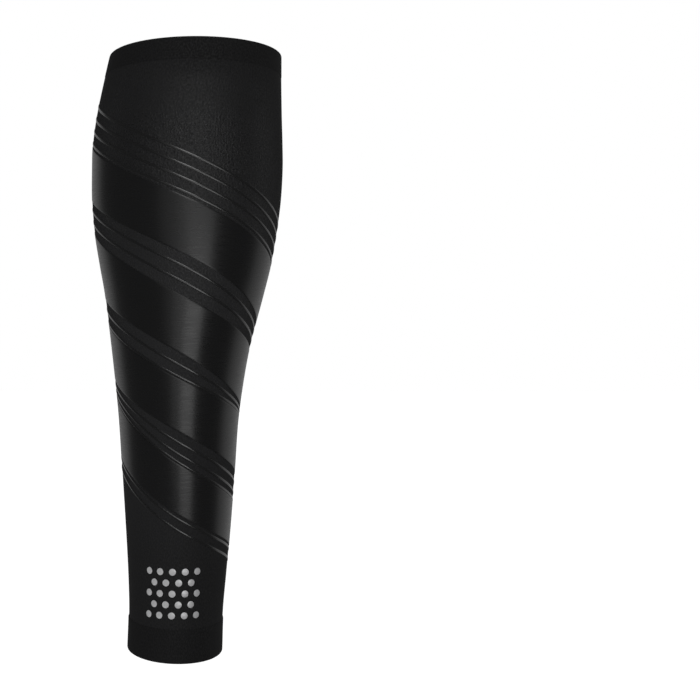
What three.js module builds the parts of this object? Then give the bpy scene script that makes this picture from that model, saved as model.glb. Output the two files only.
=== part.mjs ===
import * as THREE from 'three';

// Calf compression sleeve for one leg, in the form that it has when worn.
// Millimetres, +Z up the leg, -Y to the shin. The origin is the middle of
// the leg at the widest part of the calf, which is where the sleeve sits.

// Heights along the leg
const ankleToCalf = 275;
const calfToKnee = 65;
const ankleHemHeight = 19;
const kneeHemHeight = 13;
const ankleEdgeDrop = 1.7; // the ankle edge lies this much lower on the +X side

// Outside of the knit at its three main levels. Front and back are measured
// from the leg's widest line, and lean is how far that level sits to +X.
const ankle = { width: 54, front: 38, back: 32, lean: -7.3 };
const calf = { width: 109.5, front: 53, back: 61, lean: 0 };
const knee = { width: 98.5, front: 50, back: 50, lean: 4.7 };

// Walls and fits
const knitWall = 1.2;
const hemWall = 2.1;
const ankleHemStep = 0.4; // the folded ankle hem stands proud of the knit
const filmWall = 0.4;
const clearance = 0.3;

// Bonded film lines, seam tape and reflective dots
const lineWidth = 1.4;
const tapeWidth = 8;
const tapeWall = 0.5;
const dotDiameter = 3.8;
const dotWall = 0.4;
const dotPitchAround = 7;
const dotPitchUp = 6;
const markAboveAnkle = 38.5;
const markTurn = -5; // degrees from the shin's middle line

// How finely the round shapes are divided
const turnsAround = 36;
const tubeRows = 22;
const panelRows = 4;
const dotSides = 10;

const length = ankleToCalf + calfToKnee;
const ankleEdge = -ankleToCalf;
const kneeEdge = calfToKnee;

// Sections from the ankle edge up to the calf. Level is the share of that
// height, the other columns the share of the way from ankle size to calf size.
const lowerLeg = [
  { level: 0.0, width: 0.0, front: 0.0, back: 0.0, lean: 0.0 },
  { level: 0.08, width: 0.0, front: 0.03, back: -0.02, lean: 0.1 },
  { level: 0.16, width: 0.045, front: 0.08, back: -0.03, lean: 0.2 },
  { level: 0.26, width: 0.115, front: 0.16, back: -0.02, lean: 0.265 },
  { level: 0.37, width: 0.19, front: 0.32, back: 0.03, lean: 0.295 },
  { level: 0.49, width: 0.272, front: 0.5, back: 0.12, lean: 0.315 },
  { level: 0.62, width: 0.44, front: 0.7, back: 0.32, lean: 0.45 },
  { level: 0.74, width: 0.668, front: 0.86, back: 0.6, lean: 0.75 },
  { level: 0.8, width: 0.795, front: 0.92, back: 0.76, lean: 0.835 },
  { level: 0.865, width: 0.905, front: 0.97, back: 0.9, lean: 0.86 },
  { level: 0.93, width: 0.977, front: 1.0, back: 0.98, lean: 0.925 },
  { level: 1.0, width: 1.0, front: 1.0, back: 1.0, lean: 1.0 },
];

// Sections from the calf up to the knee edge, as shares of the way from calf
// size to knee size.
const upperLeg = [
  { level: 0.22, width: 0.05, front: 0.05, back: 0.1, lean: 0.04 },
  { level: 0.48, width: 0.3, front: 0.3, back: 0.38, lean: 0.24 },
  { level: 0.79, width: 0.71, front: 0.7, back: 0.73, lean: 0.66 },
  { level: 1.0, width: 1.0, front: 1.0, back: 1.0, lean: 1.0 },
];

// The spiral bands of bare knit, as heights in shares of the whole length at
// five turns round the leg, from the back seam by -X, shin and +X to the seam.
const bandEdges = {
  top1: { backLeft: 0.993, left: 0.918, front: 0.814, right: 0.711, backRight: 0.637 },
  bottom1: { backLeft: 0.925, left: 0.848, front: 0.745, right: 0.642, backRight: 0.569 },
  top2: { backLeft: 0.831, left: 0.759, front: 0.655, right: 0.548, backRight: 0.496 },
  bottom2: { backLeft: 0.778, left: 0.702, front: 0.589, right: 0.502, backRight: 0.437 },
  top3: { backLeft: 0.652, left: 0.594, front: 0.5, right: 0.408, backRight: 0.36 },
  bottom3: { backLeft: 0.599, left: 0.552, front: 0.462, right: 0.394, backRight: 0.334 },
  top4: { backLeft: 0.513, left: 0.459, front: 0.375, right: 0.298, backRight: 0.24 },
  bottom4: { backLeft: 0.46, left: 0.427, front: 0.326, right: 0.251, backRight: 0.199 },
  top5: { backLeft: 0.369, left: 0.331, front: 0.241, right: 0.176, backRight: 0.122 },
  bottom5: { backLeft: 0.334, left: 0.307, front: 0.216, right: 0.152, backRight: 0.102 },
};
const edgeTurns = { backLeft: -1, left: -0.5, front: 0, right: 0.5, backRight: 1 };

// Each band's film lines, as shares of the way from its top to its bottom.
const bands = [
  { number: 1, lines: [0, 0.3, 0.6, 0.9] },
  { number: 2, lines: [0.3, 0.67] },
  { number: 3, lines: [0.5, 1] },
  { number: 4, lines: [0.35, 0.73, 1] },
  { number: 5, lines: [0.27, 1] },
];

const dotsInRows = [5, 4, 5, 4, 5];

const knit = new THREE.MeshStandardMaterial({ color: 0x17181a, roughness: 0.85, metalness: 0 });
const foldedKnit = new THREE.MeshStandardMaterial({ color: 0x131416, roughness: 0.88, metalness: 0 });
const film = new THREE.MeshStandardMaterial({ color: 0x0d0e10, roughness: 0.28, metalness: 0 });
const tape = new THREE.MeshStandardMaterial({ color: 0x101113, roughness: 0.5, metalness: 0 });
const reflective = new THREE.MeshStandardMaterial({ color: 0xb4b6b8, roughness: 0.35, metalness: 0.6 });

// A smooth curve through the points (xs, ys), read at x.
function follow(xs, ys, x) {
  const last = xs.length - 1;
  const at = THREE.MathUtils.clamp(x, xs[0], xs[last]);
  let i = 0;
  while (i < last - 1 && at >= xs[i + 1]) i += 1;
  const slope = (k) => {
    const before = Math.max(k - 1, 0);
    const after = Math.min(k + 1, last);
    return (ys[after] - ys[before]) / (xs[after] - xs[before]);
  };
  const step = xs[i + 1] - xs[i];
  const t = (at - xs[i]) / step;
  return (
    (1 + 2 * t) * (1 - t) ** 2 * ys[i] +
    t * (1 - t) ** 2 * step * slope(i) +
    t * t * (3 - 2 * t) * ys[i + 1] +
    t * t * (t - 1) * step * slope(i + 1)
  );
}

// The sections of both tables in millimetres, from the ankle edge upwards.
function legSections() {
  const blend = (from, to, row, bottom, height) => ({
    height: bottom + row.level * height,
    halfWidth: THREE.MathUtils.lerp(from.width, to.width, row.width) / 2,
    front: THREE.MathUtils.lerp(from.front, to.front, row.front),
    back: THREE.MathUtils.lerp(from.back, to.back, row.back),
    lean: THREE.MathUtils.lerp(from.lean, to.lean, row.lean),
  });
  return [
    ...lowerLeg.map((row) => blend(ankle, calf, row, ankleEdge, ankleToCalf)),
    ...upperLeg.map((row) => blend(calf, knee, row, 0, calfToKnee)),
  ];
}

const sections = legSections();
const sectionHeights = sections.map((section) => section.height);

function legSize(name, height) {
  return follow(sectionHeights, sections.map((section) => section[name]), height);
}

// A point on the knit's outside, or beyond it by outward. Angle 0 is the
// shin, and a quarter turn is the +X side.
function onLeg(angle, height, outward) {
  const depthName = Math.cos(angle) > 0 ? 'front' : 'back';
  return new THREE.Vector3(
    legSize('lean', height) + (legSize('halfWidth', height) + outward) * Math.sin(angle),
    -(legSize(depthName, height) + outward) * Math.cos(angle),
    height,
  );
}

// Half the angle at the back that a strip of this half width takes up.
function seamAngle(height, halfStrip) {
  return Math.asin(Math.min(halfStrip / legSize('halfWidth', height), 1));
}

// Turns run from -1 at one side of the seam tape, by 0 at the shin, to 1 at
// the tape's other side. The turn called seamTurn is the middle of the back.
const seamTurn = 2;

function wrapAngle(turn, height) {
  if (turn === seamTurn) return Math.PI;
  return turn * (Math.PI - seamAngle(height, tapeWidth / 2 + clearance));
}

function tapeAngle(turn, height) {
  return Math.PI + turn * seamAngle(height, tapeWidth / 2);
}

function evenSteps(from, to, count) {
  return Array.from({ length: count + 1 }, (_, i) => from + ((to - from) * i) / count);
}

const wrapTurns = evenSteps(-1, 1, turnsAround);
const ringTurns = [...wrapTurns, seamTurn];

// A solid swept round the leg. outlineAt gives, for each turn, the same even
// number of [outward, height] points: up the outside and down the inside. An
// open sweep is capped row by row, so that its ends follow the leg too.
function sweepRound(turns, outlineAt, angleAt, closed) {
  const outlines = turns.map(outlineAt);
  const count = outlines[0].length;
  const positions = [];
  outlines.forEach((outline, i) => {
    outline.forEach(([outward, height]) => {
      positions.push(...onLeg(angleAt(turns[i], height), height, outward).toArray());
    });
  });
  const index = [];
  const spans = closed ? turns.length : turns.length - 1;
  for (let i = 0; i < spans; i += 1) {
    const next = (i + 1) % turns.length;
    for (let k = 0; k < count; k += 1) {
      const up = (k + 1) % count;
      const corners = [i * count + k, next * count + k, next * count + up, i * count + up];
      index.push(corners[0], corners[1], corners[2], corners[0], corners[2], corners[3]);
    }
  }
  if (!closed) {
    const lastStart = (turns.length - 1) * count;
    for (let k = 0; k < count / 2 - 1; k += 1) {
      const [a, b, c, d] = [k, k + 1, count - 2 - k, count - 1 - k];
      index.push(a, b, c, a, c, d);
      index.push(lastStart + a, lastStart + c, lastStart + b, lastStart + a, lastStart + d, lastStart + c);
    }
  }
  const geometry = new THREE.BufferGeometry();
  geometry.setAttribute('position', new THREE.Float32BufferAttribute(positions, 3));
  geometry.setIndex(index);
  geometry.computeVertexNormals();
  return geometry;
}

// The outline of a wall between two heights, divided into rows.
function wallOutline(low, high, rows, inner, outer) {
  const heights = evenSteps(low, high, rows);
  const outside = heights.map((height) => [outer, height]);
  const inside = heights.map((height) => [inner, height]).reverse();
  return [...outside, ...inside];
}

// The ankle edge is a little slanted, and what lies near it slants with it.
function ankleSlant(turn, height) {
  return (-ankleEdgeDrop / 2) * Math.sin(wrapAngle(turn, height));
}

const ankleHemTop = ankleEdge + ankleHemHeight;
const kneeHemBottom = kneeEdge - kneeHemHeight;

function knitTube() {
  return sweepRound(
    ringTurns,
    (turn) => {
      const low = ankleHemTop + clearance + ankleSlant(turn, ankleHemTop);
      return wallOutline(low, kneeHemBottom - clearance, tubeRows, -knitWall, 0);
    },
    wrapAngle,
    true,
  );
}

// A hem is the knit folded in double, so its free edge is round. The fold's
// radius is half its wall, and foldSide is 1 at the knee and -1 at the ankle.
function hem(edgeAt, joinAt, foldSide, outer) {
  const radius = hemWall / 2;
  const foldPoints = 4;
  return sweepRound(
    ringTurns,
    (turn) => {
      const middle = outer - radius;
      const foldCentre = edgeAt(turn) - foldSide * radius;
      const fold = evenSteps(0, Math.PI, foldPoints).map((angle) => [
        middle + radius * Math.cos(angle),
        foldCentre + foldSide * radius * Math.sin(angle),
      ]);
      const outline = [[outer, joinAt(turn)], ...fold, [outer - hemWall, joinAt(turn)]];
      return foldSide > 0 ? outline : outline.reverse();
    },
    wrapAngle,
    true,
  );
}

function kneeHem() {
  return hem(() => kneeEdge, () => kneeHemBottom, 1, 0);
}

function ankleHem() {
  return hem(
    (turn) => ankleEdge + ankleSlant(turn, ankleEdge),
    (turn) => ankleHemTop + ankleSlant(turn, ankleHemTop),
    -1,
    ankleHemStep,
  );
}

function bandHeight(edgeName, turn) {
  const names = Object.keys(edgeTurns);
  const share = follow(names.map((name) => edgeTurns[name]), names.map((name) => bandEdges[edgeName][name]), turn);
  return ankleEdge + share * length;
}

// A film wall bonded to the knit between two curves. It starts where its
// upper edge comes out from under the knee hem.
function filmStrip(lowAt, highAt, rows) {
  const ceiling = kneeHemBottom - clearance;
  let start = -1;
  while (highAt(start) > ceiling) start += 0.002;
  const turns = [start, ...wrapTurns.filter((turn) => turn > start + 0.01)];
  return sweepRound(
    turns,
    (turn) => wallOutline(lowAt(turn), highAt(turn), rows, clearance, clearance + filmWall),
    wrapAngle,
    false,
  );
}

function lineHeight(band, share, turn) {
  const top = bandHeight(`top${band.number}`, turn);
  const bottom = bandHeight(`bottom${band.number}`, turn);
  return THREE.MathUtils.lerp(top, bottom, share);
}

function filmLine(band, share) {
  return filmStrip(
    (turn) => lineHeight(band, share, turn) - lineWidth / 2,
    (turn) => lineHeight(band, share, turn) + lineWidth / 2,
    1,
  );
}

// A film panel fills the space between two bands, clear of a line that lies
// on the upper band's lower edge.
function filmPanel(upperBand, lowerBand) {
  const hasEdgeLine = upperBand.lines[upperBand.lines.length - 1] === 1;
  const trim = hasEdgeLine ? lineWidth / 2 + clearance : 0;
  return filmStrip(
    (turn) => bandHeight(`top${lowerBand.number}`, turn),
    (turn) => bandHeight(`bottom${upperBand.number}`, turn) - trim,
    panelRows,
  );
}

// The tape covers the seam that closes the tube at the back.
function seamTape() {
  return sweepRound(
    [-1, 0, 1],
    () => wallOutline(
      ankleHemTop + 2 * clearance,
      kneeHemBottom - 2 * clearance,
      tubeRows,
      clearance,
      clearance + tapeWall,
    ),
    tapeAngle,
    false,
  );
}

// The angle that lies a distance round the leg from the angle given.
function angleAlong(start, distance, height) {
  const step = 0.002 * Math.sign(distance);
  let angle = start;
  let walked = 0;
  while (walked < Math.abs(distance)) {
    walked += onLeg(angle, height, 0).distanceTo(onLeg(angle + step, height, 0));
    angle += step;
  }
  return angle;
}

function reflectiveDot(row, column) {
  const height = ankleEdge + markAboveAnkle + (row - (dotsInRows.length - 1) / 2) * dotPitchUp;
  const along = (column - (dotsInRows[row] - 1) / 2) * dotPitchAround;
  const angle = angleAlong(THREE.MathUtils.degToRad(markTurn), along, height);
  const nudge = 0.01;
  const around = onLeg(angle + nudge, height, 0).sub(onLeg(angle - nudge, height, 0));
  const upwards = onLeg(angle, height + nudge, 0).sub(onLeg(angle, height - nudge, 0));
  const outward = around.cross(upwards).normalize();
  const radius = dotDiameter / 2;
  const dot = new THREE.Mesh(new THREE.CylinderGeometry(radius, radius, dotWall, dotSides), reflective);
  dot.position.copy(onLeg(angle, height, 0)).addScaledVector(outward, clearance + dotWall / 2);
  dot.quaternion.setFromUnitVectors(new THREE.Vector3(0, 1, 0), outward);
  return dot;
}

const sleeve = new THREE.Group();

function add(name, mesh) {
  mesh.name = name;
  sleeve.add(mesh);
}

add('knit_tube', new THREE.Mesh(knitTube(), knit));
add('knee_hem', new THREE.Mesh(kneeHem(), foldedKnit));
add('ankle_hem', new THREE.Mesh(ankleHem(), foldedKnit));
add('seam_tape', new THREE.Mesh(seamTape(), tape));

bands.slice(1).forEach((band, i) => {
  add(`film_panel_${i + 1}`, new THREE.Mesh(filmPanel(bands[i], band), film));
});

bands.forEach((band) => {
  band.lines.forEach((share, i) => {
    add(`band_${band.number}_line_${i + 1}`, new THREE.Mesh(filmLine(band, share), film));
  });
});

dotsInRows.forEach((count, row) => {
  for (let column = 0; column < count; column += 1) {
    add(`reflective_dot_${row + 1}_${column + 1}`, reflectiveDot(row, column));
  }
});

export default sleeve;
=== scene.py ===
import math

import bpy
import numpy as np
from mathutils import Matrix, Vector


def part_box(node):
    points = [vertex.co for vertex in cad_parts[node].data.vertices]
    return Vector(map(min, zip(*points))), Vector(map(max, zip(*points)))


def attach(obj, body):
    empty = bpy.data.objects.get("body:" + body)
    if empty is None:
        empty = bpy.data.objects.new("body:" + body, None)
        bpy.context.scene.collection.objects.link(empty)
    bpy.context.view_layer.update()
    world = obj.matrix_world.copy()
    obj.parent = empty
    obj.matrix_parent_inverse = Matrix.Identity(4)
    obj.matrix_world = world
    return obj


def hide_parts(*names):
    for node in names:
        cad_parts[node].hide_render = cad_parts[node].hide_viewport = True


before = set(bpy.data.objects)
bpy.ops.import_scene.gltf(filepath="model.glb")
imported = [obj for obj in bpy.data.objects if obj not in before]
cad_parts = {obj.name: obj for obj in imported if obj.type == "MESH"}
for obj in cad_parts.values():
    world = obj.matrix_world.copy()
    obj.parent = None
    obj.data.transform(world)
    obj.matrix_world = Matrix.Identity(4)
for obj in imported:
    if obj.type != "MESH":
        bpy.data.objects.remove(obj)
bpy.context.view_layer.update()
bpy.ops.object.select_all(action="DESELECT")

# Camera
# It stands level in front of the shin, at half the sleeve's height. The sleeve
# is left of the picture's middle, so the lens is shifted to the right.
camera_distance = 0.712
camera_height = -0.1035
picture_width = 700
leg_pixel = 187.5
focal_pixels = 1235.5
sensor = 36.0

camera_data = bpy.data.cameras.new("camera")
camera_data.sensor_width = sensor
camera_data.lens = focal_pixels / picture_width * sensor
camera_data.shift_x = 0.5 - leg_pixel / picture_width
camera = bpy.data.objects.new("camera", camera_data)
camera.location = (0, -camera_distance, camera_height)
camera.rotation_euler = (math.radians(90), 0, 0)
bpy.context.scene.collection.objects.link(camera)
bpy.context.scene.camera = camera

# Floor
# A wide plain floor, far below the sleeve, which is held up as a leg holds it.
# It is as pale as the backdrop, and only the camera sees it.
floor_height = -1.15
floor_size = 60
backdrop_white = 1.0
bpy.ops.mesh.primitive_plane_add(size=floor_size, location=(0, 0, floor_height))
floor = bpy.context.object
floor.name = "floor"
floor_paint = bpy.data.materials.new("floor_paint")
floor_paint.use_nodes = True
floor_shader = floor_paint.node_tree.nodes["Principled BSDF"]
floor_shader.inputs["Base Color"].default_value = (0.5, 0.5, 0.5, 1)
floor_shader.inputs["Roughness"].default_value = 0.9
floor_shader.inputs["Emission Color"].default_value = (1, 1, 1, 1)
floor_shader.inputs["Emission Strength"].default_value = backdrop_white
floor.data.materials.append(floor_paint)
floor.visible_diffuse = False
floor.visible_glossy = False
floor.visible_shadow = False

# Studio light
# The camera sees a plain white backdrop. The sleeve sees a dim room, with a
# backdrop glow behind it, five soft lamps in front and two fills on the left.
room_level = 0.07
glow_level = 0.4
glow_azimuth = math.radians(170)
glow_starts, glow_full = 0.3, 0.58

bpy.context.scene.view_settings.view_transform = "Standard"
world = bpy.context.scene.world or bpy.data.worlds.new("studio")
bpy.context.scene.world = world
world.use_nodes = True
sky = world.node_tree
sky.nodes.clear()
sky_out = sky.nodes.new("ShaderNodeOutputWorld")
sky_shade = sky.nodes.new("ShaderNodeBackground")
sky_path = sky.nodes.new("ShaderNodeLightPath")
sky_way = sky.nodes.new("ShaderNodeTexCoord")
sky_behind = sky.nodes.new("ShaderNodeVectorMath")
sky_room = sky.nodes.new("ShaderNodeMapRange")
sky_level = sky.nodes.new("ShaderNodeMix")
sky_shade.inputs["Color"].default_value = (1, 1, 1, 1)
sky_behind.operation = "DOT_PRODUCT"
sky_behind.inputs[1].default_value = (math.sin(glow_azimuth), -math.cos(glow_azimuth), 0)
sky_room.interpolation_type = "SMOOTHSTEP"
sky_room.inputs["From Min"].default_value = glow_starts
sky_room.inputs["From Max"].default_value = glow_full
sky_room.inputs["To Min"].default_value = room_level
sky_room.inputs["To Max"].default_value = glow_level
sky_level.inputs["B"].default_value = backdrop_white
sky.links.new(sky_way.outputs["Generated"], sky_behind.inputs[0])
sky.links.new(sky_behind.outputs["Value"], sky_room.inputs["Value"])
sky.links.new(sky_path.outputs["Is Camera Ray"], sky_level.inputs["Factor"])
sky.links.new(sky_room.outputs["Result"], sky_level.inputs["A"])
sky.links.new(sky_level.outputs["Result"], sky_shade.inputs["Strength"])
sky.links.new(sky_shade.outputs["Background"], sky_out.inputs["Surface"])


def soft_lamp(name, azimuth, elevation, distance, size, brightness):
    """A soft rectangular lamp that faces the sleeve. Azimuth 0 is the camera's side and 90 is +X."""
    lamp_data = bpy.data.lights.new(name, "AREA")
    lamp_data.shape = "RECTANGLE"
    lamp_data.size, lamp_data.size_y = size
    lamp_data.energy = brightness * math.pi * size[0] * size[1]
    lamp = bpy.data.objects.new(name, lamp_data)
    turn, rise = math.radians(azimuth), math.radians(elevation)
    lamp.location = (
        distance * math.cos(rise) * math.sin(turn),
        -distance * math.cos(rise) * math.cos(turn),
        camera_height + distance * math.sin(rise),
    )
    lamp.rotation_euler = (math.radians(90) - rise, 0, turn)
    bpy.context.scene.collection.objects.link(lamp)
    return lamp


soft_lamp("tall_lamp", azimuth=19, elevation=-9, distance=1.5, size=(0.8, 0.6), brightness=1.9)
soft_lamp("side_glow", azimuth=-7, elevation=-8, distance=1.5, size=(0.5, 0.34), brightness=0.7)
soft_lamp("wing_lamp", azimuth=-12, elevation=6, distance=1.6, size=(1.1, 0.7), brightness=0.25)
soft_lamp("high_lamp", azimuth=16, elevation=15, distance=1.5, size=(1.1, 0.7), brightness=0.32)
soft_lamp("upper_lamp", azimuth=7, elevation=30, distance=1.5, size=(0.6, 0.6), brightness=3.0)
# The fills light the cloth's own colour, and stay out of its reflections.
fills = [
    soft_lamp("left_fill", azimuth=-75, elevation=48, distance=1.6, size=(1.2, 1.0), brightness=0.65),
    soft_lamp("low_fill", azimuth=-62, elevation=-42, distance=1.4, size=(1.2, 0.8), brightness=1.7),
]
for fill in fills:
    fill.visible_glossy = False

# Knit body
# A tube of fine ribbed elastic knit, open at both ends. It is wrapped round
# the leg, closed at the back and stretched to the leg's form.
mm = 0.001
ankle_to_calf = 275 * mm
calf_to_knee = 65 * mm
knee_hem_height = 13 * mm
ankle_hem_height = 19 * mm
ankle_edge_drop = 1.7 * mm
knit_wall = 1.2 * mm
ankle_edge = -ankle_to_calf
length = ankle_to_calf + calf_to_knee

# Width, front, back and lean at the ankle, calf and knee, in millimetres.
ankle_size = np.array([54, 38, 32, -7.3])
calf_size = np.array([109.5, 53, 61, 0])
knee_size = np.array([98.5, 50, 50, 4.7])

# Rows up the leg: level, then the shares of the way from the ankle's sizes to
# the calf's, for width, front, back and lean.
lower_leg = [
    (0.0, (0.0, 0.0, 0.0, 0.0)),
    (0.08, (0.0, 0.03, -0.02, 0.1)),
    (0.16, (0.045, 0.08, -0.03, 0.2)),
    (0.26, (0.115, 0.16, -0.02, 0.265)),
    (0.37, (0.19, 0.32, 0.03, 0.295)),
    (0.49, (0.272, 0.5, 0.12, 0.315)),
    (0.62, (0.44, 0.7, 0.32, 0.45)),
    (0.74, (0.668, 0.86, 0.6, 0.75)),
    (0.8, (0.795, 0.92, 0.76, 0.835)),
    (0.865, (0.905, 0.97, 0.9, 0.86)),
    (0.93, (0.977, 1.0, 0.98, 0.925)),
    (1.0, (1.0, 1.0, 1.0, 1.0)),
]
# The same from the calf to the knee edge.
upper_leg = [
    (0.22, (0.05, 0.05, 0.1, 0.04)),
    (0.48, (0.3, 0.3, 0.38, 0.24)),
    (0.79, (0.71, 0.7, 0.73, 0.66)),
    (1.0, (1.0, 1.0, 1.0, 1.0)),
]
leg_heights = np.array(
    [ankle_edge + level * ankle_to_calf for level, _ in lower_leg]
    + [level * calf_to_knee for level, _ in upper_leg]
)
leg_sizes = np.array(
    [ankle_size + (calf_size - ankle_size) * shares for _, shares in lower_leg]
    + [calf_size + (knee_size - calf_size) * shares for _, shares in upper_leg]
) * mm


def follow(xs, ys, x):
    """A smooth curve through the points (xs, ys), read at x."""
    xs, ys = np.asarray(xs, float), np.asarray(ys, float)
    x = np.clip(x, xs[0], xs[-1])
    i = np.clip(np.searchsorted(xs, x, side="right") - 1, 0, len(xs) - 2)
    slope = np.empty(len(xs))
    slope[1:-1] = (ys[2:] - ys[:-2]) / (xs[2:] - xs[:-2])
    slope[0] = (ys[1] - ys[0]) / (xs[1] - xs[0])
    slope[-1] = (ys[-1] - ys[-2]) / (xs[-1] - xs[-2])
    step = xs[i + 1] - xs[i]
    t = (x - xs[i]) / step
    return (
        (1 + 2 * t) * (1 - t) ** 2 * ys[i]
        + t * (1 - t) ** 2 * step * slope[i]
        + t * t * (3 - 2 * t) * ys[i + 1]
        + t * t * (t - 1) * step * slope[i + 1]
    )


def on_leg(angle, height, outward):
    """Points on the knit's outside, or off it by outward. Angle 0 is the shin."""
    width, front, back, lean = (follow(leg_heights, leg_sizes[:, k], height) for k in range(4))
    depth = np.where(np.cos(angle) > 0, front, back)
    x = lean + (width / 2 + outward) * np.sin(angle)
    y = -(depth + outward) * np.cos(angle)
    return np.stack([x, y, height], axis=-1)


def full_turn(turn, height):
    """Turns of -1 and 1 meet at the middle of the back."""
    return turn * math.pi


def flat_grid(name, columns, rows):
    """A flat grid to be wrapped: x is the turn, from -1 to 1, and y the share, from 0 to 1."""
    bpy.ops.object.select_all(action="DESELECT")
    bpy.ops.mesh.primitive_grid_add(x_subdivisions=columns, y_subdivisions=rows, size=2)
    piece = bpy.context.object
    piece.name = name
    piece.data.name = name
    bpy.ops.object.mode_set(mode="EDIT")
    bpy.ops.mesh.select_all(action="SELECT")
    bpy.ops.transform.translate(value=(0, 1, 0))
    bpy.ops.transform.resize(value=(1, 0.5, 1), center_override=(0, 0, 0))
    bpy.ops.object.mode_set(mode="OBJECT")
    return piece


weld_distance = 0.01 * mm


def wrap(piece, place, angle_of, closed):
    """Carries a flat piece onto the leg. place gives the height and the distance
    off the knit for each turn and share. The UV map keeps the turn and height."""
    mesh = piece.data
    flat = np.empty(len(mesh.vertices) * 3, np.float32)
    mesh.vertices.foreach_get("co", flat)
    turn, share, _ = flat.reshape(-1, 3).astype(float).T
    height, outward = place(turn, share)
    outward = np.broadcast_to(outward, height.shape)
    points = on_leg(angle_of(turn, height), height, outward)
    mesh.vertices.foreach_set("co", points.astype(np.float32).ravel())
    corner = np.empty(len(mesh.loops), np.int32)
    mesh.loops.foreach_get("vertex_index", corner)
    chart = np.stack([(turn[corner] + 1) / 2, (height[corner] - ankle_edge) / length], axis=-1)
    mesh.uv_layers.active.data.foreach_set("uv", chart.astype(np.float32).ravel())
    mesh.update()
    if closed:
        bpy.ops.object.mode_set(mode="EDIT")
        bpy.ops.mesh.select_all(action="SELECT")
        bpy.ops.mesh.remove_doubles(threshold=weld_distance)
        bpy.ops.object.mode_set(mode="OBJECT")


smooth_below = math.radians(40)


def thicken(piece, wall, side, round_edge=0.0):
    """Gives a wrapped sheet its wall, inwards (-1) or outwards (1), and rounds its edges."""
    solid = piece.modifiers.new("wall", "SOLIDIFY")
    solid.thickness = wall
    solid.offset = side
    solid.use_even_offset = True
    bpy.ops.object.modifier_apply(modifier="wall")
    if round_edge > 0:
        edge = piece.modifiers.new("edge", "BEVEL")
        edge.width = round_edge
        edge.segments = 2
        edge.limit_method = "ANGLE"
        edge.angle_limit = math.radians(50)
        bpy.ops.object.modifier_apply(modifier="edge")
    bpy.ops.object.shade_smooth_by_angle(angle=smooth_below)


def slant(turn, height):
    """The ankle edge lies a little lower on the +X side."""
    near_ankle = np.clip(1 - (height - ankle_edge) / (3 * ankle_hem_height), 0, 1)
    return -ankle_edge_drop / 2 * np.sin(turn * math.pi) * near_ankle


# The tube runs a little way into both hems, and lies just below what is bonded on it.
into_hem = 2 * mm
body_sink = 0.02 * mm
body_low = ankle_edge + ankle_hem_height - into_hem
body_high = calf_to_knee - knee_hem_height + into_hem
turn_steps = 220
body_rows = 170


def body_place(turn, share):
    height = body_low + share * (body_high - body_low)
    return height + slant(turn, height), -body_sink


def knit_group():
    """Fine knit for any piece: ribs that run up the leg, each a chain of stitches."""
    group = bpy.data.node_groups.new("fine_knit", "ShaderNodeTree")
    for name, value in (("Ribs", 380.0), ("Courses", 560.0), ("Streaks", 0.5)):
        socket = group.interface.new_socket(name, in_out="INPUT", socket_type="NodeSocketFloat")
        socket.default_value = value
    for name in ("Relief", "Shade", "Speck"):
        group.interface.new_socket(name, in_out="OUTPUT", socket_type="NodeSocketFloat")
    nodes, links = group.nodes, group.links
    given = nodes.new("NodeGroupInput")
    result = nodes.new("NodeGroupOutput")

    def maths(kind, a, b=None, c=None):
        node = nodes.new("ShaderNodeMath")
        node.operation = kind
        for socket, value in zip(node.inputs, (a, b, c)):
            if value is None:
                continue
            if isinstance(value, (int, float)):
                socket.default_value = value
            else:
                links.new(value, socket)
        return node.outputs[0]

    def noise(around, along, detail):
        stretch = nodes.new("ShaderNodeMapping")
        stretch.inputs["Scale"].default_value = (around, along, 1)
        links.new(chart.outputs["UV"], stretch.inputs["Vector"])
        node = nodes.new("ShaderNodeTexNoise")
        node.noise_dimensions = "2D"
        node.inputs["Scale"].default_value = 1.0
        node.inputs["Detail"].default_value = detail
        links.new(stretch.outputs["Vector"], node.inputs["Vector"])
        return node.outputs["Fac"]

    chart = nodes.new("ShaderNodeTexCoord")
    axes = nodes.new("ShaderNodeSeparateXYZ")
    links.new(chart.outputs["UV"], axes.inputs["Vector"])
    across = maths("FRACT", maths("MULTIPLY", axes.outputs["X"], given.outputs["Ribs"]))
    rib = maths("SINE", maths("MULTIPLY", across, math.pi))
    lean = maths("ABSOLUTE", maths("SUBTRACT", across, 0.5))
    course = maths("ADD", maths("MULTIPLY", axes.outputs["Y"], given.outputs["Courses"]), lean)
    loop = maths("ABSOLUTE", maths("SINE", maths("MULTIPLY", course, math.pi)))
    stitch = maths("MULTIPLY", maths("POWER", rib, 0.7), maths("MULTIPLY_ADD", loop, 0.45, 0.55))
    streak = noise(around=170, along=14, detail=2)
    speck = noise(around=330, along=260, detail=2)
    uneven = maths("MULTIPLY_ADD", streak, given.outputs["Streaks"], maths("MULTIPLY", speck, 3.0))
    links.new(maths("MULTIPLY_ADD", stitch, 0.4, uneven), result.inputs["Relief"])
    # Shade is low in the grooves between ribs and stitches, as painted shade, plus random streaks and
    # specks of tone.
    noise_shade = maths("MULTIPLY_ADD", streak, 0.5, maths("MULTIPLY", speck, 0.5))
    links.new(maths("MULTIPLY_ADD", stitch, 0.5, noise_shade), result.inputs["Shade"])
    links.new(speck, result.inputs["Speck"])
    return group


fine_knit = knit_group()


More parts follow.
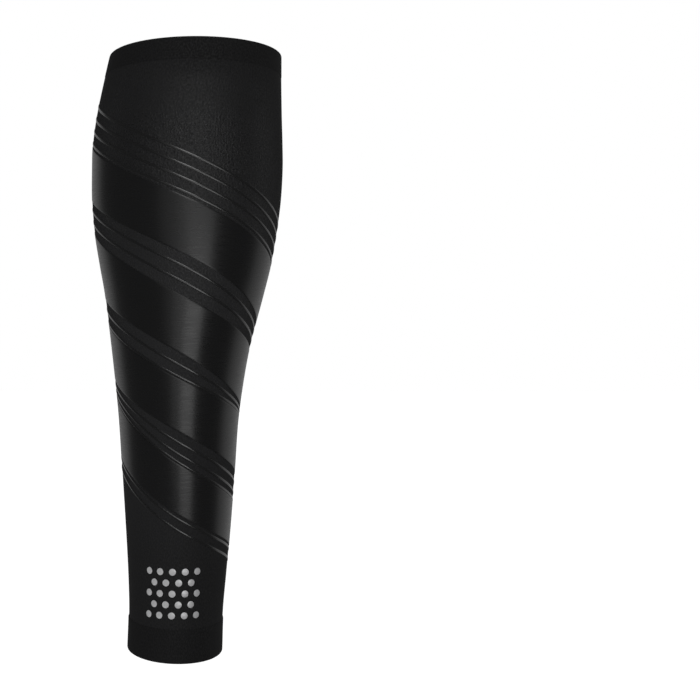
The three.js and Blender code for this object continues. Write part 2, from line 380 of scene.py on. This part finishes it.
def cloth(name, dark, light, dull, shiny, specular, relief, ribs=380.0, courses=560.0, painted_light_gain=1.0):
    """A knitted cloth: its colour is painted darker in the grooves than on the ribs, as painted shade,
    with random streaks and specks of tone.
    It is dull where it is slack, and shinier where the calf stretches it most.
    Its fine specks glint or not, it fuzzes at the edges, and its grain opens on the calf.
    Its colour is painted lighter at mid height, where the bare bands lie between the films, as painted
    light."""
    material = bpy.data.materials.new(name)
    material.use_nodes = True
    nodes, links = material.node_tree.nodes, material.node_tree.links
    shader = nodes["Principled BSDF"]
    shader.inputs["Specular IOR Level"].default_value = specular
    knit = nodes.new("ShaderNodeGroup")
    knit.node_tree = fine_knit
    knit.inputs["Ribs"].default_value = ribs
    knit.inputs["Courses"].default_value = courses
    colour = nodes.new("ShaderNodeMix")
    colour.data_type = "RGBA"
    colour.inputs["A"].default_value = (*dark, 1)
    colour.inputs["B"].default_value = (*light, 1)
    links.new(knit.outputs["Shade"], colour.inputs["Factor"])
    chart = nodes.new("ShaderNodeTexCoord")
    axes = nodes.new("ShaderNodeSeparateXYZ")
    # Painted light: the colour is made lighter at mid height, fully from 0.45 to 0.62 of the length and
    # fading out by 0.1 and 0.84.
    painted_light_ramp = nodes.new("ShaderNodeValToRGB")
    painted_light_ramp.color_ramp.interpolation = "EASE"
    painted_light_stops = painted_light_ramp.color_ramp.elements
    for share, light_lift in ((0.3, 0.7), (0.45, 1.0), (0.62, 1.0)):
        painted_light_stops.new(share).color = (light_lift, light_lift, light_lift, 1)
    painted_light_stops[0].position, painted_light_stops[0].color = 0.1, (0, 0, 0, 1)
    painted_light_stops[-1].position, painted_light_stops[-1].color = 0.84, (0, 0, 0, 1)
    painted_light_scale = nodes.new("ShaderNodeMapRange")
    painted_light_scale.inputs["To Min"].default_value = 1.0
    painted_light_scale.inputs["To Max"].default_value = painted_light_gain
    painted_light_colour = nodes.new("ShaderNodeVectorMath")
    painted_light_colour.operation = "SCALE"
    links.new(axes.outputs["Y"], painted_light_ramp.inputs["Fac"])
    links.new(painted_light_ramp.outputs["Color"], painted_light_scale.inputs["Value"])
    links.new(colour.outputs["Result"], painted_light_colour.inputs[0])
    links.new(painted_light_scale.outputs["Result"], painted_light_colour.inputs["Scale"])
    links.new(painted_light_colour.outputs["Vector"], shader.inputs["Base Color"])
    stretched = nodes.new("ShaderNodeValToRGB")
    stretched.color_ramp.interpolation = "EASE"
    stops = stretched.color_ramp.elements
    for share, shine in ((0.6, 0.55), (0.85, 1.0), (0.92, 0.55)):
        stops.new(share).color = (shine, shine, shine, 1)
    stops[0].position, stops[0].color = 0.4, (0, 0, 0, 1)
    stops[-1].position, stops[-1].color = 0.96, (0, 0, 0, 1)
    gloss = nodes.new("ShaderNodeMapRange")
    gloss.inputs["To Min"].default_value = dull
    gloss.inputs["To Max"].default_value = shiny
    specks_average = 0.5
    glint = nodes.new("ShaderNodeMath")
    glint.operation = "MULTIPLY_ADD"
    glint.inputs[1].default_value = -1.0
    glinting = nodes.new("ShaderNodeMath")
    glinting.inputs[1].default_value = specks_average
    facing = nodes.new("ShaderNodeLayerWeight")
    facing.inputs["Blend"].default_value = 0.5
    grazing = nodes.new("ShaderNodeMapRange")
    grazing.interpolation_type = "SMOOTHSTEP"
    grazing.inputs["From Min"].default_value = 0.2
    grazing.inputs["From Max"].default_value = 0.75
    fuzzy = nodes.new("ShaderNodeMix")
    fuzzy.inputs["B"].default_value = 1.0
    links.new(chart.outputs["UV"], axes.inputs["Vector"])
    links.new(axes.outputs["Y"], stretched.inputs["Fac"])
    links.new(stretched.outputs["Color"], gloss.inputs["Value"])
    links.new(facing.outputs["Facing"], grazing.inputs["Value"])
    links.new(grazing.outputs["Result"], fuzzy.inputs["Factor"])
    links.new(knit.outputs["Speck"], glint.inputs[0])
    links.new(gloss.outputs["Result"], glint.inputs[2])
    links.new(glint.outputs["Value"], glinting.inputs[0])
    links.new(glinting.outputs["Value"], fuzzy.inputs["A"])
    links.new(fuzzy.outputs["Result"], shader.inputs["Roughness"])
    bump = nodes.new("ShaderNodeBump")
    bump.inputs["Strength"].default_value = relief
    bump.inputs["Distance"].default_value = 0.15 * mm
    grain = nodes.new("ShaderNodeMapRange")
    grain.inputs["To Min"].default_value = 0.2
    open_knit = nodes.new("ShaderNodeMath")
    open_knit.operation = "MULTIPLY"
    links.new(stretched.outputs["Color"], grain.inputs["Value"])
    links.new(knit.outputs["Relief"], open_knit.inputs[0])
    links.new(grain.outputs["Result"], open_knit.inputs[1])
    links.new(open_knit.outputs["Value"], bump.inputs["Height"])
    links.new(bump.outputs["Normal"], shader.inputs["Normal"])
    return material


knit_body = flat_grid("knit_body", turn_steps, body_rows)
wrap(knit_body, body_place, full_turn, closed=True)
thicken(knit_body, knit_wall, -1)
# The dark colour lies in the knit's grooves as painted shade, and the light one on its ribs.
knit_dark = (0.0144, 0.0144, 0.0149)
knit_light = (0.0174, 0.0174, 0.0181)
# The knit's colour is painted lighter at mid height, as painted light on the bare bands between the films.
knit_body.data.materials.append(
    cloth(
        "knit", knit_dark, knit_light, dull=0.85, shiny=0.34, specular=0.29, relief=1.0, painted_light_gain=1.42
    )
)
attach(knit_body, "root")
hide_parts("knit_tube")

# Hems
# At each end the knit is folded in double, so the edge is round and twice as
# thick. The ankle hem grips tighter and stands a little proud of the knit.
hem_wall = 2.1 * mm
knee_hem_lip = 0.12 * mm
ankle_hem_lip = 0.4 * mm
hem_smooth_below = math.radians(50)


def hem_outline(join, edge, outer):
    """Points round a folded hem: from its join up the outside, over the fold and down the inside."""
    radius = hem_wall / 2
    side = math.copysign(1, edge - join)
    fold = [
        (outer - radius + radius * math.cos(a), edge - side * radius + side * radius * math.sin(a))
        for a in np.linspace(0, math.pi, 9)
    ]
    join_curve = ((0.5 * mm, 0), (0.15 * mm, 0.4 * mm), (0, 1.1 * mm))
    start = [(outer - inward, join + side * along) for inward, along in join_curve]
    up = [(outer, join + (edge - join) * share) for share in (0.2, 0.4, 0.6, 0.75)]
    down = [(outer - hem_wall, join + (edge - join) * share) for share in (0.75, 0.5, 0.25, 0)]
    return np.array(start + up + fold + down + start[:1])


def hem_piece(name, node, join, edge, outer, material):
    outline = hem_outline(join, edge, outer)
    if edge < join:
        outline = outline[::-1]

    def place(turn, share):
        step = share * (len(outline) - 1)
        height = np.interp(step, range(len(outline)), outline[:, 1])
        return height + slant(turn, height), np.interp(step, range(len(outline)), outline[:, 0])

    hem = flat_grid(name, turn_steps, len(outline) - 1)
    wrap(hem, place, full_turn, closed=True)
    bpy.ops.object.shade_smooth_by_angle(angle=hem_smooth_below)
    hem.data.materials.append(material)
    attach(hem, "root")
    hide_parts(node)
    return hem


# The hem's grooves also get the dark colour, as painted shade.
hem_dark = (0.0092, 0.0092, 0.0095)
hem_light = (0.0116, 0.0116, 0.0121)
hem_cloth = cloth(
    "folded_knit", hem_dark, hem_light, dull=0.85, shiny=0.6, specular=0.32, relief=0.6, courses=420.0
)
knee_join = calf_to_knee - knee_hem_height
ankle_join = ankle_edge + ankle_hem_height
hems = [
    hem_piece("knee_fold", "knee_hem", knee_join, calf_to_knee, knee_hem_lip, hem_cloth),
    hem_piece("ankle_fold", "ankle_hem", ankle_join, ankle_edge, ankle_hem_lip, hem_cloth),
]

# Film panels
# Four smooth elastic films are bonded flat onto the knit, and spiral down the
# leg between the bands. Their satin gloss has fine streaks along the spiral.
film_wall = 0.18 * mm
film_bed = 0.05 * mm
film_round = 0.06 * mm
film_rows = 28
film_colour = (0.0104, 0.0104, 0.0108)
tape_width = 8 * mm
tape_gap = 0.3 * mm
line_width = 1.4 * mm
edge_turns = (-1, -0.5, 0, 0.5, 1)
# Shares of the whole length at the back by -X, at -X, the shin, +X and the
# back by +X, for the top and bottom edge of each bare band.
band_edges = {
    1: ((0.993, 0.918, 0.814, 0.711, 0.637), (0.925, 0.848, 0.745, 0.642, 0.569)),
    2: ((0.831, 0.759, 0.655, 0.548, 0.496), (0.778, 0.702, 0.589, 0.502, 0.437)),
    3: ((0.652, 0.594, 0.5, 0.408, 0.36), (0.599, 0.552, 0.462, 0.394, 0.334)),
    4: ((0.513, 0.459, 0.375, 0.298, 0.24), (0.46, 0.427, 0.326, 0.251, 0.199)),
    5: ((0.369, 0.331, 0.241, 0.176, 0.122), (0.334, 0.307, 0.216, 0.152, 0.102)),
}
band_lines = {1: (0, 0.3, 0.6, 0.9), 2: (0.3, 0.67), 3: (0.5, 1), 4: (0.35, 0.73, 1), 5: (0.27, 1)}


def band_height(band, share, turn):
    """Height of a line that lies at a share of the way from a band's top to its bottom."""
    top, bottom = (follow(edge_turns, edge, turn) for edge in band_edges[band])
    return ankle_edge + length * (top + (bottom - top) * share)


def to_tape(turn, height):
    """Turns of -1 and 1 lie at the two sides of the tape down the back."""
    half_width = follow(leg_heights, leg_sizes[:, 0], height) / 2
    return turn * (math.pi - np.arcsin((tape_width / 2 + tape_gap) / half_width))


def film(name, streaks, roughness, specular, colour):
    """A satin film: fine streaks along the spiral, and a trace of the knit below."""
    material = bpy.data.materials.new(name)
    material.use_nodes = True
    nodes, links = material.node_tree.nodes, material.node_tree.links
    shader = nodes["Principled BSDF"]
    shader.inputs["Base Color"].default_value = (*colour, 1)
    shader.inputs["Specular IOR Level"].default_value = specular
    chart = nodes.new("ShaderNodeTexCoord")
    stretch = nodes.new("ShaderNodeMapping")
    stretch.inputs["Scale"].default_value = (26, 420, 1)
    links.new(chart.outputs["UV"], stretch.inputs["Vector"])
    streak = nodes.new("ShaderNodeTexNoise")
    streak.noise_dimensions = "2D"
    streak.inputs["Scale"].default_value = 1.0
    streak.inputs["Detail"].default_value = 3.0
    links.new(stretch.outputs["Vector"], streak.inputs["Vector"])
    spread = nodes.new("ShaderNodeMapRange")
    spread.inputs["From Min"].default_value = 0.3
    spread.inputs["From Max"].default_value = 0.7
    spread.inputs["To Min"].default_value = roughness - 0.03
    spread.inputs["To Max"].default_value = roughness + 0.04
    links.new(streak.outputs["Fac"], spread.inputs["Value"])
    links.new(spread.outputs["Result"], shader.inputs["Roughness"])
    knit = nodes.new("ShaderNodeGroup")
    knit.node_tree = fine_knit
    blend = nodes.new("ShaderNodeMath")
    blend.operation = "MULTIPLY_ADD"
    blend.inputs[1].default_value = 0.12
    links.new(knit.outputs["Relief"], blend.inputs[0])
    links.new(streak.outputs["Fac"], blend.inputs[2])
    bump = nodes.new("ShaderNodeBump")
    bump.inputs["Strength"].default_value = streaks
    bump.inputs["Distance"].default_value = 0.05 * mm
    links.new(blend.outputs["Value"], bump.inputs["Height"])
    links.new(bump.outputs["Normal"], shader.inputs["Normal"])
    return material


def film_panel(number, material):
    """The film between band number and the band below it."""
    has_edge_line = band_lines[number][-1] == 1
    trim = line_width / 2 + tape_gap if has_edge_line else 0

    def place(turn, share):
        low = band_height(number + 1, 0, turn)
        high = band_height(number, 1, turn) - trim
        return low + share * (high - low), -film_bed

    panel = flat_grid(f"film_{number}", turn_steps, film_rows)
    wrap(panel, place, to_tape, closed=False)
    thicken(panel, film_wall + film_bed, 1, film_round)
    panel.data.materials.append(material)
    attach(panel, "root")
    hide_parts(f"film_panel_{number}")
    return panel


film_finish = film("film", streaks=0.1, roughness=0.29, specular=0.5, colour=film_colour)
films = [film_panel(number, film_finish) for number in range(1, 5)]

# Film lines
# Narrow strips of the same film are bonded onto the bare bands. Each is
# slightly crowned, so it catches the light over more of the leg.
line_wall = 0.14 * mm
line_crown = 0.1 * mm
line_bed = 0.02 * mm
line_round = 0.03 * mm
line_rows = 6


def film_line(band, index, share, material):
    """One line, which starts where it comes out from under the knee hem."""
    turns = np.linspace(-1, 1, 401)
    under_hem = band_height(band, share, turns) + line_width / 2 > knee_join
    start = turns[under_hem].max() if under_hem.any() else -1.0

    def place(turn, across):
        along = start + (turn + 1) / 2 * (1 - start)
        height = band_height(band, share, along) + (across - 0.5) * line_width
        return height, -line_bed + line_crown * (1 - (2 * across - 1) ** 2)

    def angle_of(turn, height):
        return to_tape(start + (turn + 1) / 2 * (1 - start), height)

    line = flat_grid(f"line_{band}_{index}", turn_steps, line_rows)
    wrap(line, place, angle_of, closed=False)
    thicken(line, line_wall, 1, line_round)
    line.data.materials.append(material)
    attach(line, "root")
    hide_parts(f"band_{band}_line_{index}")
    return line


line_finish = film("film_line", streaks=0.1, roughness=0.24, specular=0.85, colour=film_colour)
lines = [
    film_line(band, index, share, line_finish)
    for band, shares in band_lines.items()
    for index, share in enumerate(shares, start=1)
]

# Seam tape
# A flat dull tape is bonded down the back, over the seam that closes the tube
# and over the gap where the films end.
tape_wall = 0.3 * mm
tape_bed = 0.03 * mm
tape_round = 0.08 * mm
tape_columns = 8
tape_rows = 150
# The tape's grooves get the dark colour, as painted shade.
tape_dark = (0.009, 0.009, 0.0094)
tape_light = (0.016, 0.016, 0.0166)


def tape_angle(turn, height):
    half_width = follow(leg_heights, leg_sizes[:, 0], height) / 2
    return math.pi + np.arcsin(turn * tape_width / 2 / half_width)


def tape_place(turn, share):
    return ankle_join + share * (knee_join - ankle_join), -tape_bed


seam_tape = flat_grid("back_tape", tape_columns, tape_rows)
wrap(seam_tape, tape_place, tape_angle, closed=False)
thicken(seam_tape, tape_wall, 1, tape_round)
tape_cloth = cloth(
    "tape", tape_dark, tape_light, dull=0.6, shiny=0.5, specular=0.4, relief=0.15, ribs=40.0, courses=700.0
)
seam_tape.data.materials.append(tape_cloth)
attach(seam_tape, "root")
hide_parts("seam_tape")

# Reflective dots
# A staggered block of round dots is printed on the front above the ankle, in
# silver-grey paint full of tiny glass beads.
dot_wall = 0.16 * mm
dot_radius = 1.9 * mm
dot_round = 0.06 * mm
dot_sides = 28
# The middle of a CAD dot lies this far off the knit, and the print on it.
cad_dot_lift = 0.5 * mm
bead_scale = 6000


def bead_paint():
    material = bpy.data.materials.new("reflective")
    material.use_nodes = True
    nodes, links = material.node_tree.nodes, material.node_tree.links
    shader = nodes["Principled BSDF"]
    shader.inputs["Metallic"].default_value = 0.2
    chart = nodes.new("ShaderNodeTexCoord")
    beads = nodes.new("ShaderNodeTexVoronoi")
    beads.inputs["Scale"].default_value = bead_scale
    links.new(chart.outputs["Object"], beads.inputs["Vector"])
    shade = nodes.new("ShaderNodeMapRange")
    shade.inputs["To Min"].default_value = 0.42
    shade.inputs["To Max"].default_value = 0.28
    links.new(beads.outputs["Distance"], shade.inputs["Value"])
    links.new(shade.outputs["Result"], shader.inputs["Roughness"])
    colour = nodes.new("ShaderNodeMix")
    colour.data_type = "RGBA"
    colour.inputs["A"].default_value = (0.85, 0.85, 0.86, 1)
    colour.inputs["B"].default_value = (0.7, 0.7, 0.71, 1)
    links.new(beads.outputs["Distance"], colour.inputs["Factor"])
    links.new(colour.outputs["Result"], shader.inputs["Base Color"])
    bump = nodes.new("ShaderNodeBump")
    bump.inputs["Strength"].default_value = 0.2
    bump.inputs["Distance"].default_value = 0.02 * mm
    links.new(beads.outputs["Distance"], bump.inputs["Height"])
    links.new(bump.outputs["Normal"], shader.inputs["Normal"])
    return material


def printed_dot(node, material):
    """A thin round print that takes its place and its slope from the CAD dot."""
    low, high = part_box(node)
    middle = (low + high) / 2
    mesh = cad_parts[node].data
    widest = max(mesh.polygons, key=lambda face: face.area)
    outward = widest.normal.copy()
    if outward.y > 0:
        outward.negate()
    bpy.ops.object.select_all(action="DESELECT")
    bpy.ops.mesh.primitive_cylinder_add(
        vertices=dot_sides, radius=dot_radius, depth=dot_wall, location=(0, 0, 0)
    )
    dot = bpy.context.object
    dot.name = node.replace("reflective_dot", "printed_dot")
    edge = dot.modifiers.new("edge", "BEVEL")
    edge.width = dot_round
    edge.segments = 2
    bpy.ops.object.modifier_apply(modifier="edge")
    turn = outward.to_track_quat("Z", "Y").to_matrix().to_4x4()
    turn.translation = middle - outward * cad_dot_lift + outward * dot_wall * 0.6
    dot.data.transform(turn)
    bpy.ops.object.shade_smooth_by_angle(angle=smooth_below)
    dot.data.materials.append(material)
    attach(dot, "root")
    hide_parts(node)
    return dot


silver = bead_paint()
dot_nodes = sorted(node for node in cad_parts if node.startswith("reflective_dot"))
dots = [printed_dot(node, silver) for node in dot_nodes]
